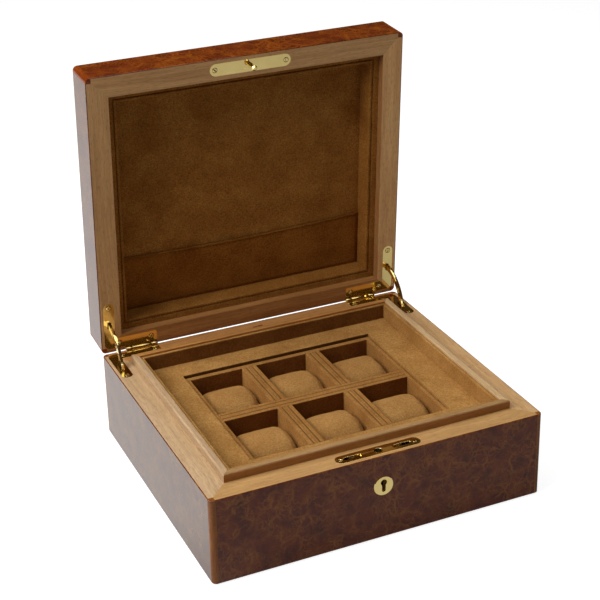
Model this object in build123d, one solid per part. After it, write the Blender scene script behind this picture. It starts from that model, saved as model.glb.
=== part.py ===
from build123d import *
import math
import os

# A wooden watch box with a hinged lid: a mitred, veneered carcass, a lip that
# locates the lid, a suede-covered insert with six compartments, six watch
# cushions, two L-shaped quadrant hinges and a box lock.
# The origin is the centre of the underside. +X runs right along the front,
# +Y runs to the back and +Z is up. All sizes are in millimetres.

# Driving dimensions
WIDTH = 300.0
DEPTH = 266.0
BASE_HEIGHT = 78.0
LID_HEIGHT = 34.8
CLOSED_GAP = 0.2
OPEN_ANGLE = 87.0
HINGE_SETBACK = 0.4
SIDE_WALL = 20.0
BASE_BACK_WALL = 24.0
LID_BACK_WALL = 16.5
LIP_PROUD = 7.5
CORNER_RADIUS = 4.0
VENEER = 0.8
EDGE_EASE = 0.35
CORNER_STRIP = 5.0

# Base construction
BAIZE = 0.8
BAIZE_INSET = 3.0
BOTTOM_BOARD = 8.0
LIP_BOARD = 6.0
LIP_RADIUS = 1.8
LIP_INNER_RADIUS = 0.7
LINER_BOARD = 3.3
LINER_DROP = 1.5
LINER_RADIUS = 1.3
FLOOR_LINING = 0.8
PANEL_TOP = 70.0
PANEL_BOARD = 4.0
BEARER = 10.0

# Insert and cushions
INSERT_WIDTH = 184.0
INSERT_FRONT = -78.0
INSERT_BACK = 76.0
INSERT_TOP = 67.3
INSERT_SIDE = 3.8
INSERT_FRONT_WALL = 3.0
INSERT_BACK_WALL = 5.0
INSERT_FLOOR = 4.0
DIVIDER = 13.8
COLUMNS = 3
SEAM_WIDTH = 0.5
SEAM_DEPTH = 0.7
PANEL_GAP = 0.8
CUSHION_WIDTH = 48.0
CUSHION_DEPTH = 54.0
CUSHION_CROWN = 64.0
CUSHION_LIFT = 0.4
CUSHION_BACK_GAP = 3.6

# Lid construction
LID_BOARD = 6.0
LID_CAVITY_GAP = 0.5
LID_RIM_DEPTH = 8.0
LEDGE_WIDTH = 5.4
GROOVE_WIDTH = 1.2
GROOVE_DEPTH = 1.5
LID_LINER = 2.4
LID_LINER_RADIUS = 0.9
LID_PANEL = 1.0
POCKET_CARD = 1.2
POCKET_HEIGHT = 53.5

# Hinges
LEAF = 2.0
LEAF_SUNK = 0.2
LEAF_SIDE_X = 136.3
LEAF_SIDE_WIDTH = 10.3
LEAF_FRONT = 82.8
LEAF_BACK_EDGE = 129.5
LEAF_BACK_WIDTH = 10.0
LEAF_END_X = 97.0
LEAF_CORNER = 1.5
LEAF_HEEL = 5.4
KNUCKLE_RADIUS = 2.5
KNUCKLE_LENGTH = 30.0
LID_KNUCKLE = 18.0
KNUCKLE_GAP = 0.2
KNUCKLE_ROOM = 0.4
PIN_RADIUS = 1.1
PIN_FIT = 0.05
BASE_SLOT_NEAR = 98.0
LID_SLOT_NEAR = 101.8
SLOT_FAR = 109.4
SLOT_WIDTH = 3.8
ARM_RADIUS = 36.2
ARM_BEHIND = 3.6
ARM_BELOW = 7.7
ARM_WIDTH = 4.6
ARM_THICK = 2.6
STUD_RADIUS = 1.2
STUD_LENGTH = 6.4
POCKET_WIDTH = 7.4
POCKET_NEAR = 91.5
POCKET_FAR = 120.0
POCKET_DEEP = 27.8

# Lock
LOCK_Y = -123.2
PLATE_LENGTH = 76.6
PLATE_WIDTH = 11.4
PLATE_THICK = 1.6
PLATE_SUNK = 0.05
CATCH_HOLE = 3.3
CATCH_SLOTS = ((-31.0, -15.0), (13.0, 29.5))
CATCH_SLOT_WIDTH = 3.9
CASE_LENGTH = 63.4
CASE_WIDTH = 9.8
CASE_BOTTOM = 40.0
CASE_WALL = 1.2
BOLT_TOP = 73.6
BOLT_THICK = 1.6
BOLT_LENGTH = 48.0
BOLT_WIDTH = 6.4
BOLT_TRAVEL = 5.0
TALON_WIDTH = 16.0
TALON_NEAR = 2.5
TALON_FAR = 3.6
TALON_BOTTOM = 46.0
GUIDE_X = 14.0
GUIDE_WIDTH = 6.0
GUIDE_FIT = 0.1
CATCH_NECK = 1.5
CATCH_SHANK = 2.1
CATCH_HEAD = 2.5
CATCH_LENGTH = 10.0
CATCH_HEAD_HEIGHT = 2.6
CATCH_NECK_LENGTH = 3.6
ESCUTCHEON_Z = 50.0
ESCUTCHEON_RADIUS = 8.75
ESCUTCHEON_THICK = 1.4
ESCUTCHEON_PROUD = 0.4
KEYHOLE_RADIUS = 2.8
KEYHOLE_RISE = 3.2
KEYHOLE_DROP = 5.6
KEYHOLE_WIDTH = 3.4
REBATE_X = 5.5
REBATE_Y = 123.0
REBATE_WIDTH = 2.2
REBATE_DEPTH = 1.6

# Derived places
HALF_W = WIDTH / 2
HALF_D = DEPTH / 2
LID_RIM = BASE_HEIGHT + CLOSED_GAP
LID_TOP = LID_RIM + LID_HEIGHT
AXIS_Y = HALF_D + HINGE_SETBACK
AXIS_Z = BASE_HEIGHT + CLOSED_GAP / 2
HINGE_AXIS = Axis((0, AXIS_Y, AXIS_Z), (1, 0, 0))
OUTER = (-HALF_W, HALF_W, -HALF_D, HALF_D)
BOARD_TOP = BAIZE + BOTTOM_BOARD
FLOOR_TOP = BOARD_TOP + FLOOR_LINING
LIP_TOP = BASE_HEIGHT + LIP_PROUD
LINER_TOP = LIP_TOP - LINER_DROP
CELL_W = (INSERT_WIDTH - 2 * INSERT_SIDE - (COLUMNS - 1) * DIVIDER) / COLUMNS
CELL_PITCH = CELL_W + DIVIDER
CELL_D = (INSERT_BACK - INSERT_FRONT - INSERT_FRONT_WALL - INSERT_BACK_WALL - DIVIDER) / 2
CELL_FLOOR = FLOOR_TOP + INSERT_FLOOR


# Shape helpers
def block(x0, x1, y0, y1, z0, z1):
    """A box between two corners."""
    middle = Pos((x0 + x1) / 2, (y0 + y1) / 2, (z0 + z1) / 2)
    return middle * Box(x1 - x0, y1 - y0, z1 - z0)


def over(rect, z0, z1):
    """A box standing over a plan rectangle (x0, x1, y0, y1)."""
    return block(*rect, z0, z1)


def inside(rect, sides, front=None, back=None):
    """The plan rectangle that is left inside walls of the given thickness."""
    front = sides if front is None else front
    back = sides if back is None else back
    return (rect[0] + sides, rect[1] - sides, rect[2] + front, rect[3] - back)


def prism(points, z0, z1):
    """A straight prism over a plan outline."""
    outline = Plane.XY.offset(z0) * Polygon(*points, align=None)
    return extrude(outline, z1 - z0)


def ring(outer, inner, z0, z1):
    """Four walls in one piece, between two plan rectangles."""
    return over(outer, z0, z1) - over(inner, z0 - 1, z1 + 1)


def mitred(solid, outer, inner, z0, z1):
    """A ring cut at its mitres into front, back, left and right pieces."""
    ox0, ox1, oy0, oy1 = outer
    ix0, ix1, iy0, iy1 = inner
    outlines = {
        "front": [(ox0, oy0), (ox1, oy0), (ix1, iy0), (ix0, iy0)],
        "back": [(ox1, oy1), (ox0, oy1), (ix0, iy1), (ix1, iy1)],
        "left": [(ox0, oy1), (ox0, oy0), (ix0, iy0), (ix0, iy1)],
        "right": [(ox1, oy0), (ox1, oy1), (ix1, iy1), (ix1, iy0)],
    }
    return {side: solid & prism(points, z0, z1) for side, points in outlines.items()}


def rounded_boards(outer, inner, z0, z1, face, radius):
    """Four mitred boards; radius rounds each one's outer and inner edge at a face."""
    ox0, ox1, oy0, oy1 = outer
    ix0, ix1, iy0, iy1 = inner
    boards = {
        "front": (block(ox0, ox1, oy0, iy0, z0, z1), Axis.X, Axis.Y),
        "back": (block(ox0, ox1, iy1, oy1, z0, z1), Axis.X, Axis.Y),
        "left": (block(ox0, ix0, oy0, oy1, z0, z1), Axis.Y, Axis.X),
        "right": (block(ix1, ox1, oy0, oy1, z0, z1), Axis.Y, Axis.X),
    }
    pieces = {}
    for side, (board, along, across) in boards.items():
        for outermost in (True, False):
            edges = board.edges().filter_by(along).group_by(Axis.Z)[-1 if face == z1 else 0]
            ends = edges.sort_by(across)
            far_is_last = side in ("back", "right")
            edge = ends[-1] if outermost == far_is_last else ends[0]
            board = fillet(edge, radius[0] if outermost else radius[1])
        pieces[side] = mitred(board, outer, inner, z0, z1)[side]
    return pieces


def cylinder_x(radius, x0, x1, y, z):
    """A round bar along X."""
    return Pos((x0 + x1) / 2, y, z) * Rot(0, 90, 0) * Cylinder(radius, x1 - x0)


def rounded_bar(x0, x1, y0, y1, z0, z1):
    """A flat bar whose two short ends are full half circles."""
    long_x = x1 - x0 > y1 - y0
    length = max(x1 - x0, y1 - y0)
    width = min(x1 - x0, y1 - y0)
    outline = SlotOverall(length, width, rotation=0 if long_x else 90)
    middle = Plane.XY.offset(z0) * Pos((x0 + x1) / 2, (y0 + y1) / 2) * outline
    return extrude(middle, z1 - z0)


def both_sides(right_shape):
    """A shape on the right and its mirror image on the left."""
    return right_shape, mirror(right_shape, about=Plane.YZ)


def group(shapes):
    """Separate solids kept together in one node."""
    return Compound(children=[solid for shape in shapes for solid in shape.solids()])


def turned_over(shape):
    """The same shape on the lid's side of the joint between base and lid."""
    return mirror(shape, about=Plane.XY.offset(AXIS_Z))


def opened(shape):
    """A lid piece turned from the closed place to the open one."""
    return shape.rotate(HINGE_AXIS, -OPEN_ANGLE)


def shell_form(z0, z1):
    """The outer form of the base or lid, with its rounded corners and edges."""
    form = over(OUTER, z0, z1)
    form = fillet(form.edges().filter_by(Axis.Z), CORNER_RADIUS)
    ends = form.faces().sort_by(Axis.Z)
    return chamfer(ends[0].edges() + ends[-1].edges(), EDGE_EASE)


def corner_squares(z0, z1):
    """The square places of the four corner strips."""
    squares = []
    for x0, x1 in ((-HALF_W, -HALF_W + CORNER_STRIP), (HALF_W - CORNER_STRIP, HALF_W)):
        for y0, y1 in ((-HALF_D, -HALF_D + CORNER_STRIP), (HALF_D - CORNER_STRIP, HALF_D)):
            squares.append(block(x0, x1, y0, y1, z0, z1))
    return squares


def side_veneers(form, z0, z1):
    """The veneer of the four faces, between the corner strips."""
    core = inside(OUTER, VENEER)
    end_x = HALF_W - CORNER_STRIP
    end_y = HALF_D - CORNER_STRIP
    sheets = {
        "front": block(-end_x, end_x, -HALF_D, core[2], z0, z1),
        "back": block(-end_x, end_x, core[3], HALF_D, z0, z1),
        "left": block(-HALF_W, core[0], -end_y, end_y, z0, z1),
        "right": block(core[1], HALF_W, -end_y, end_y, z0, z1),
    }
    return {side: sheet & form for side, sheet in sheets.items()}


# Hinges
def leaf_outline():
    """The L of the right-hand leaf, round at its front end and its heel."""
    side = rounded_bar(
        LEAF_SIDE_X,
        LEAF_SIDE_X + LEAF_SIDE_WIDTH,
        LEAF_FRONT,
        LEAF_BACK_EDGE + LEAF_SIDE_WIDTH,
        0,
        LEAF,
    )
    side = side & block(0, HALF_W, 0, LEAF_BACK_EDGE, -1, LEAF + 1)
    back = block(
        LEAF_END_X,
        LEAF_SIDE_X + LEAF_SIDE_WIDTH,
        LEAF_BACK_EDGE - LEAF_BACK_WIDTH,
        LEAF_BACK_EDGE,
        0,
        LEAF,
    )
    leaf = side + back
    ends = [edge for edge in leaf.edges().filter_by(Axis.Z) if edge.center().X < LEAF_END_X + 1]
    leaf = fillet(ends, LEAF_CORNER)
    heel = leaf.edges().filter_by(Axis.Z).sort_by(lambda edge: edge.center().X + edge.center().Y)
    return fillet(heel[-1], LEAF_HEEL)


def knuckle_spans():
    """Where along X the base's two knuckles and the lid's one lie."""
    start = LEAF_END_X
    end = LEAF_END_X + KNUCKLE_LENGTH
    middle = (start + end) / 2
    lid = (middle - LID_KNUCKLE / 2, middle + LID_KNUCKLE / 2)
    return [(start, lid[0] - KNUCKLE_GAP), (lid[1] + KNUCKLE_GAP, end)], [lid]


def leaf_with_knuckles(spans, fit, slot_near):
    """A leaf at the base's rim, its knuckles bored for the pin."""
    bottom = BASE_HEIGHT - LEAF_SUNK - LEAF
    leaf = Pos(0, 0, bottom) * leaf_outline()
    middle = LEAF_SIDE_X + LEAF_SIDE_WIDTH / 2
    half = SLOT_WIDTH / 2
    leaf -= rounded_bar(middle - half, middle + half, slot_near, SLOT_FAR, bottom - 1, BASE_HEIGHT)
    for x0, x1 in spans:
        leaf += block(x0, x1, LEAF_BACK_EDGE - 1, AXIS_Y, bottom, bottom + LEAF)
        leaf += cylinder_x(KNUCKLE_RADIUS, x0, x1, AXIS_Y, AXIS_Z)
        leaf -= cylinder_x(PIN_RADIUS + fit, x0 - 1, x1 + 1, AXIS_Y, AXIS_Z)
    return leaf


def leaf_mortise():
    """The wood cut away for the right-hand hinge, on the base's side."""
    bottom = BASE_HEIGHT - LEAF_SUNK - LEAF
    start = LEAF_END_X
    end = LEAF_END_X + KNUCKLE_LENGTH
    room = KNUCKLE_ROOM
    seat = Pos(0, 0, bottom) * leaf_outline()
    seat += seat.moved(Location((0, 0, 1)))
    tongue = block(start, end, LEAF_BACK_EDGE - 2, AXIS_Y, bottom, BASE_HEIGHT + 1)
    barrel = cylinder_x(KNUCKLE_RADIUS + room, start - room, end + room, AXIS_Y, AXIS_Z)
    middle = LEAF_SIDE_X + LEAF_SIDE_WIDTH / 2
    pocket = block(
        middle - POCKET_WIDTH / 2,
        middle + POCKET_WIDTH / 2,
        POCKET_NEAR,
        POCKET_FAR,
        BASE_HEIGHT - POCKET_DEEP,
        BASE_HEIGHT,
    )
    return seat + tongue + barrel + pocket


def quadrant_arm():
    """The curved strip that slides through both leaves and stops the open lid."""
    middle_x = LEAF_SIDE_X + LEAF_SIDE_WIDTH / 2
    under_leaf = LEAF_SUNK + CLOSED_GAP / 2 + LEAF + STUD_RADIUS + 0.1
    lean = math.radians(90 - OPEN_ANGLE)
    start = math.pi - math.asin((ARM_BELOW - under_leaf) / ARM_RADIUS)
    reach = under_leaf - ARM_BEHIND * math.cos(lean) + ARM_BELOW * math.sin(lean)
    end = lean + math.acos(reach / ARM_RADIUS)

    def at(offset, share):
        angle = start + share * (end - start)
        radius = ARM_RADIUS + offset
        return (ARM_BEHIND + radius * math.cos(angle), radius * math.sin(angle) - ARM_BELOW)

    half = ARM_WIDTH / 2
    with BuildPart() as arm:
        with BuildSketch(Plane.YZ.offset(middle_x - ARM_THICK / 2)):
            with BuildLine():
                ThreePointArc(at(half, 0), at(half, 0.5), at(half, 1))
                Line(at(half, 1), at(-half, 1))
                ThreePointArc(at(-half, 1), at(-half, 0.5), at(-half, 0))
                Line(at(-half, 0), at(half, 0))
            make_face()
            with Locations(at(0, 0), at(0, 1)):
                Circle(half)
        extrude(amount=ARM_THICK)
    solid = Pos(0, AXIS_Y, AXIS_Z) * arm.part
    for share in (0, 1):
        y, z = at(0, share)
        stud = cylinder_x(
            STUD_RADIUS,
            middle_x - STUD_LENGTH / 2,
            middle_x + STUD_LENGTH / 2,
            AXIS_Y + y,
            AXIS_Z + z,
        )
        solid += stud
    return solid


# Lock
def lock_strip(z0, z1):
    """The round-ended plate shared by the lock and the lid's striker."""
    half = PLATE_LENGTH / 2
    width = PLATE_WIDTH / 2
    return rounded_bar(-half, half, LOCK_Y - width, LOCK_Y + width, z0, z1)


def keyhole(y0, y1):
    """A round hole with a round-ended slot below it, through the front."""
    top = ESCUTCHEON_Z + KEYHOLE_RISE
    half = KEYHOLE_WIDTH / 2
    bottom = ESCUTCHEON_Z - KEYHOLE_DROP + half
    middle = (y0 + y1) / 2
    hole = Pos(0, middle, top) * Rot(90, 0, 0) * Cylinder(KEYHOLE_RADIUS, y1 - y0)
    hole += Pos(0, middle, bottom) * Rot(90, 0, 0) * Cylinder(half, y1 - y0)
    return hole + block(-half, half, y0, y1, bottom, top)


def make_lock_plate(z_top):
    """The plate in the front rim, with its catch hole and two slots."""
    plate = lock_strip(z_top - PLATE_THICK, z_top)
    plate -= Pos(0, LOCK_Y, z_top) * Cylinder(CATCH_HOLE, 4 * PLATE_THICK)
    half = CATCH_SLOT_WIDTH / 2
    for x0, x1 in CATCH_SLOTS:
        plate -= rounded_bar(x0, x1, LOCK_Y - half, LOCK_Y + half, z_top - 4, z_top + 1)
    return plate


def make_lock_case(top):
    """The case under the plate: open-topped, with two guides for the bolt."""
    half = CASE_LENGTH / 2
    wide = CASE_WIDTH / 2
    outer = (-half, half, LOCK_Y - wide, LOCK_Y + wide)
    hollow = inside(outer, CASE_WALL)
    case = over(outer, CASE_BOTTOM, top)
    case -= over(hollow, CASE_BOTTOM + CASE_WALL, top + 1)
    for x0 in (-GUIDE_X - GUIDE_WIDTH, GUIDE_X):
        case += over((x0, x0 + GUIDE_WIDTH, hollow[2], hollow[3]), CASE_BOTTOM, top)
    bar = BOLT_WIDTH / 2 + GUIDE_FIT
    case -= over(
        (hollow[0], hollow[1], LOCK_Y - bar, LOCK_Y + bar),
        BOLT_TOP - BOLT_THICK - GUIDE_FIT,
        BOLT_TOP + GUIDE_FIT,
    )
    return case - keyhole(outer[2] - 1, outer[2] + 2 * CASE_WALL)


def make_lock_bolt():
    """The sliding fork that grips the catch, with the talon the key moves."""
    wide = BOLT_WIDTH / 2
    bar_bottom = BOLT_TOP - BOLT_THICK
    half = BOLT_LENGTH / 2
    near = LOCK_Y + TALON_NEAR
    far = LOCK_Y + TALON_FAR
    bolt = block(-half, half, LOCK_Y - wide, LOCK_Y + wide, bar_bottom, BOLT_TOP)
    bolt += block(-TALON_WIDTH / 2, TALON_WIDTH / 2, near, far, TALON_BOTTOM, BOLT_TOP)
    bolt -= Pos(0, LOCK_Y, BOLT_TOP) * Cylinder(CATCH_HOLE - 0.2, 4 * BOLT_THICK)
    neck = CATCH_NECK + 0.35
    bolt -= block(-BOLT_TRAVEL, 0, LOCK_Y - neck, LOCK_Y + neck, bar_bottom - 1, BOLT_TOP + 1)
    bolt -= Pos(-BOLT_TRAVEL, LOCK_Y, BOLT_TOP) * Cylinder(neck, 4 * BOLT_THICK)
    notch = Pos(0, far, TALON_BOTTOM) * Rot(90, 0, 0) * Cylinder(TALON_WIDTH / 4, TALON_FAR)
    return bolt - notch


def make_escutcheon():
    """The round keyhole plate in the front veneer."""
    face = -HALF_D - ESCUTCHEON_PROUD
    middle = Pos(0, face + ESCUTCHEON_THICK / 2, ESCUTCHEON_Z)
    disc = middle * Rot(90, 0, 0) * Cylinder(ESCUTCHEON_RADIUS, ESCUTCHEON_THICK)
    front_edge = disc.edges().sort_by(Axis.Y)[0]
    disc = chamfer(front_edge, ESCUTCHEON_PROUD * 0.75)
    return disc - keyhole(face - 1, face + ESCUTCHEON_THICK + 1)


def make_catch(z_top):
    """The striker's mushroom stud, pointing down from the closed lid."""
    tip = z_top - CATCH_LENGTH
    neck_bottom = tip + CATCH_HEAD_HEIGHT
    neck_top = neck_bottom + CATCH_NECK_LENGTH
    profile = [
        (0, tip),
        (CATCH_HEAD / 2, tip),
        (CATCH_HEAD, neck_bottom - 1),
        (CATCH_NECK, neck_bottom),
        (CATCH_NECK, neck_top),
        (CATCH_SHANK, neck_top),
        (CATCH_SHANK, z_top + PLATE_THICK),
        (0, z_top + PLATE_THICK),
    ]
    return Pos(0, LOCK_Y, 0) * revolve(Plane.XZ * Polygon(*profile, align=None), Axis.Z)


# Watch cushion
def cushion_section(x, scale, middle_y):
    """One upright section of the cushion, drawn in about its middle."""
    bottom = CELL_FLOOR + CUSHION_LIFT
    height = CUSHION_CROWN - bottom
    half = CUSHION_DEPTH / 2
    middle_z = bottom + height * 0.48

    def at(y_share, z_share):
        z = bottom + z_share * height
        return (middle_y + scale * y_share * half, middle_z + scale * (z - middle_z))

    with BuildSketch(Plane.YZ.offset(x)) as section:
        with BuildLine():
            ThreePointArc(at(-0.80, 0.868), at(0, 1), at(0.80, 0.868))
            ThreePointArc(at(0.80, 0.868), at(0.952, 0.735), at(1, 0.56))
            ThreePointArc(at(1, 0.56), at(0.955, 0.22), at(0.66, 0))
            Line(at(0.66, 0), at(-0.66, 0))
            ThreePointArc(at(-0.66, 0), at(-0.955, 0.22), at(-1, 0.56))
            ThreePointArc(at(-1, 0.56), at(-0.952, 0.735), at(-0.80, 0.868))
        make_face()
    return section.sketch


def make_cushion(middle_x, middle_y):
    """A crowned roll lying along X, drawn in towards its two ends."""
    half = CUSHION_WIDTH / 2
    outward = ((0.5, 0.995), (0.86, 0.945), (1, 0.82))
    stations = [(-x, scale) for x, scale in reversed(outward)] + list(outward)
    sections = [cushion_section(middle_x + x * half, scale, middle_y) for x, scale in stations]
    return loft(sections, ruled=True)


parts = {}

# Base carcass
base_form = shell_form(BAIZE, BASE_HEIGHT)
base_core = inside(OUTER, VENEER)
base_hollow = inside(OUTER, SIDE_WALL, back=BASE_BACK_WALL)
base_squares = corner_squares(BAIZE, BASE_HEIGHT)
base_ring = ring(base_core, base_hollow, BAIZE, BASE_HEIGHT)
for square in base_squares:
    base_ring -= square

right_mortise, left_mortise = both_sides(leaf_mortise())
plate_top = BASE_HEIGHT - PLATE_SUNK
case_half = CASE_LENGTH / 2
case_wide = CASE_WIDTH / 2
plate_bottom = plate_top - PLATE_THICK
case_room = block(
    -case_half, case_half, LOCK_Y - case_wide, LOCK_Y + case_wide, CASE_BOTTOM, BASE_HEIGHT + 1
)
plate_seat = lock_strip(plate_bottom, BASE_HEIGHT + 1)
escutcheon_seat = Pos(0, -HALF_D, ESCUTCHEON_Z) * Rot(90, 0, 0) * Cylinder(
    ESCUTCHEON_RADIUS, 2 * (ESCUTCHEON_THICK - ESCUTCHEON_PROUD)
)
key_way = keyhole(-HALF_D - 1, LOCK_Y - case_wide)

walls = mitred(base_ring, OUTER, base_hollow, BAIZE, BASE_HEIGHT)
for tool in (case_room, plate_seat, escutcheon_seat, key_way):
    walls["front"] = walls["front"] - tool
for side, mortise in (("right", right_mortise), ("left", left_mortise)):
    walls[side] = walls[side] - mortise
    walls["back"] = walls["back"] - mortise
walls["back"] = walls["back"] - rounded_bar(
    -REBATE_X,
    REBATE_X,
    REBATE_Y - REBATE_WIDTH / 2,
    REBATE_Y + REBATE_WIDTH / 2,
    BASE_HEIGHT - REBATE_DEPTH,
    BASE_HEIGHT + 1,
)
veneers = side_veneers(base_form, BAIZE, BASE_HEIGHT)
veneers["front"] = veneers["front"] - escutcheon_seat - key_way
veneers["back"] = veneers["back"] - right_mortise - left_mortise
for side in ("front", "back", "left", "right"):
    parts[f"base_{side}_wall"] = walls[side]
    parts[f"base_{side}_veneer"] = veneers[side]
parts["base_corner_strips"] = group([square & base_form for square in base_squares])
parts["base_bottom_board"] = over(base_hollow, BAIZE, BOARD_TOP)
parts["base_baize"] = over(inside(OUTER, BAIZE_INSET), 0, BAIZE)

# Lip, liner, lining and surround
lip_inner = inside(base_hollow, LIP_BOARD)
lip_radii = (LIP_RADIUS, LIP_INNER_RADIUS)
lip = rounded_boards(base_hollow, lip_inner, BOARD_TOP, LIP_TOP, LIP_TOP, lip_radii)
for side, piece in lip.items():
    parts[f"lip_{side}"] = piece

liner_inner = inside(lip_inner, LINER_BOARD)
liner_radii = (LINER_RADIUS, LINER_RADIUS)
liner = rounded_boards(lip_inner, liner_inner, FLOOR_TOP, LINER_TOP, LINER_TOP, liner_radii)
for side, piece in liner.items():
    parts[f"base_liner_{side}"] = piece

insert_rect = (-INSERT_WIDTH / 2, INSERT_WIDTH / 2, INSERT_FRONT, INSERT_BACK)
panel_bottom = PANEL_TOP - PANEL_BOARD
parts["floor_lining"] = over(lip_inner, BOARD_TOP, FLOOR_TOP)
parts["surround_panel"] = ring(
    liner_inner, inside(insert_rect, -PANEL_GAP), panel_bottom, PANEL_TOP
)
bearer_inner = inside(liner_inner, BEARER)
bearer_ring = ring(liner_inner, bearer_inner, panel_bottom - BEARER, panel_bottom)
parts["panel_bearers"] = group(
    mitred(bearer_ring, liner_inner, bearer_inner, 0, PANEL_TOP).values()
)

# Insert with its compartments
tray_hollow = inside(insert_rect, INSERT_SIDE, INSERT_FRONT_WALL, INSERT_BACK_WALL)
tray = over(insert_rect, FLOOR_TOP, INSERT_TOP)
parts["insert_tray"] = tray - over(tray_hollow, CELL_FLOOR, INSERT_TOP + 1)
divider_front = tray_hollow[2] + CELL_D
divider_back = divider_front + DIVIDER
seam_y = divider_front + DIVIDER / 3
seam_z = INSERT_TOP - SEAM_DEPTH
half_seam = SEAM_WIDTH / 2
long_divider = block(
    tray_hollow[0], tray_hollow[1], divider_front, divider_back, CELL_FLOOR, INSERT_TOP
)
parts["insert_long_divider"] = long_divider - block(
    tray_hollow[0] - 1,
    tray_hollow[1] + 1,
    seam_y - half_seam,
    seam_y + half_seam,
    seam_z,
    INSERT_TOP + 1,
)
cross_dividers = []
for side in (-1, 1):
    middle = side * CELL_PITCH / 2
    x0 = middle - DIVIDER / 2
    seam = block(
        middle - half_seam, middle + half_seam, INSERT_FRONT, INSERT_BACK, seam_z, INSERT_TOP + 1
    )
    for y0, y1 in ((tray_hollow[2], divider_front), (divider_back, tray_hollow[3])):
        cross_dividers.append(block(x0, x0 + DIVIDER, y0, y1, CELL_FLOOR, INSERT_TOP) - seam)
parts["insert_cross_dividers"] = group(cross_dividers)

# Cushions
rows = {"front": divider_front, "back": tray_hollow[3]}
columns = {"left": -CELL_PITCH, "middle": 0.0, "right": CELL_PITCH}
for row, row_back in rows.items():
    for column, middle_x in columns.items():
        middle_y = row_back - CUSHION_BACK_GAP - CUSHION_DEPTH / 2
        parts[f"cushion_{row}_{column}"] = make_cushion(middle_x, middle_y)

# Lock
parts["lock_plate"] = make_lock_plate(plate_top)
parts["lock_case"] = make_lock_case(plate_bottom)
parts["lock_bolt"] = make_lock_bolt()
parts["escutcheon"] = make_escutcheon()

# Hinges on the base
base_spans, lid_spans = knuckle_spans()
base_leaf = leaf_with_knuckles(base_spans, 0, BASE_SLOT_NEAR)
pin = cylinder_x(PIN_RADIUS, LEAF_END_X - 0.3, LEAF_END_X + KNUCKLE_LENGTH + 0.3, AXIS_Y, AXIS_Z)
arm = quadrant_arm()
for name, shape in (("hinge_base_leaf", base_leaf), ("quadrant_arm", arm)):
    right, left = both_sides(shape)
    parts[f"right_{name}"] = right
    parts[f"left_{name}"] = left
parts["hinge_pins"] = group(both_sides(pin))

# Lid carcass, drawn closed
lid = {}
veneer_bottom = LID_TOP - VENEER
lid_form = shell_form(LID_RIM, LID_TOP)
lid_squares = corner_squares(LID_RIM, veneer_bottom)
lid_cavity = inside(OUTER, SIDE_WALL - LID_CAVITY_GAP, back=LID_BACK_WALL)
board_bottom = veneer_bottom - LID_BOARD
lid_ring = ring(base_core, lid_cavity, LID_RIM, board_bottom)
lid_board = over(base_core, board_bottom, veneer_bottom)
for square in lid_squares:
    lid_ring -= square
    lid_board -= square
lid_walls = mitred(lid_ring, OUTER, lid_cavity, LID_RIM, board_bottom)
right_seat, left_seat = both_sides(turned_over(leaf_mortise()))
striker_face = LID_RIM + PLATE_SUNK
striker_seat = lock_strip(LID_RIM - 1, striker_face + PLATE_THICK)
lid_walls["front"] = lid_walls["front"] - striker_seat
for side, seat in (("right", right_seat), ("left", left_seat)):
    lid_walls[side] = lid_walls[side] - seat
    lid_walls["back"] = lid_walls["back"] - seat
for side in ("front", "back", "left", "right"):
    lid[f"lid_{side}_wall"] = lid_walls[side]
lid_sheets = side_veneers(lid_form, LID_RIM, veneer_bottom)
lid_sheets["back"] = lid_sheets["back"] - right_seat - left_seat
lid["lid_side_veneers"] = group(lid_sheets.values())
lid["lid_corner_strips"] = group([square & lid_form for square in lid_squares])
lid["lid_top_board"] = lid_board
lid["lid_top_veneer"] = lid_form & over(OUTER, veneer_bottom, LID_TOP)

# Lid lining
ledge_z = LID_RIM + LID_RIM_DEPTH
ledge_inner = inside(lid_cavity, LEDGE_WIDTH)
groove_inner = inside(ledge_inner, GROOVE_WIDTH)
lid_liner_inner = inside(groove_inner, LID_LINER)
ledge_ring = ring(lid_cavity, groove_inner, ledge_z, board_bottom)
ledge_ring -= ring(ledge_inner, groove_inner, ledge_z - 1, ledge_z + GROOVE_DEPTH)
lid["lid_ledges"] = group(
    mitred(ledge_ring, lid_cavity, groove_inner, LID_RIM, board_bottom).values()
)
lid_liner_radii = (LID_LINER_RADIUS, LID_LINER_RADIUS)
lid_liner = rounded_boards(
    groove_inner, lid_liner_inner, ledge_z, board_bottom, ledge_z, lid_liner_radii
)
lid["lid_liner"] = group(lid_liner.values())
panel_face = board_bottom - LID_PANEL
lid["lid_panel"] = over(lid_liner_inner, panel_face, board_bottom)
pocket_rect = (
    lid_liner_inner[0],
    lid_liner_inner[1],
    lid_liner_inner[3] - POCKET_HEIGHT,
    lid_liner_inner[3],
)
lid["lid_pocket"] = over(pocket_rect, panel_face - POCKET_CARD, panel_face)

# Lid hardware
striker = lock_strip(striker_face, striker_face + PLATE_THICK)
catch = make_catch(striker_face)
lid["strike_plate"] = striker - catch
lid["strike_stud"] = catch
lid_leaf = turned_over(leaf_with_knuckles(lid_spans, PIN_FIT, LID_SLOT_NEAR))
right_leaf, left_leaf = both_sides(lid_leaf)
lid["right_hinge_lid_leaf"] = right_leaf
lid["left_hinge_lid_leaf"] = left_leaf
for name, shape in lid.items():
    parts[name] = opened(shape)

os.makedirs("parts", exist_ok=True)
for name, shape in parts.items():
    export_step(shape, f"parts/{name}.step")
print(len(parts), "nodes")
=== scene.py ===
import bpy
import bmesh
import math
from mathutils import Matrix, Vector, noise


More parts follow.
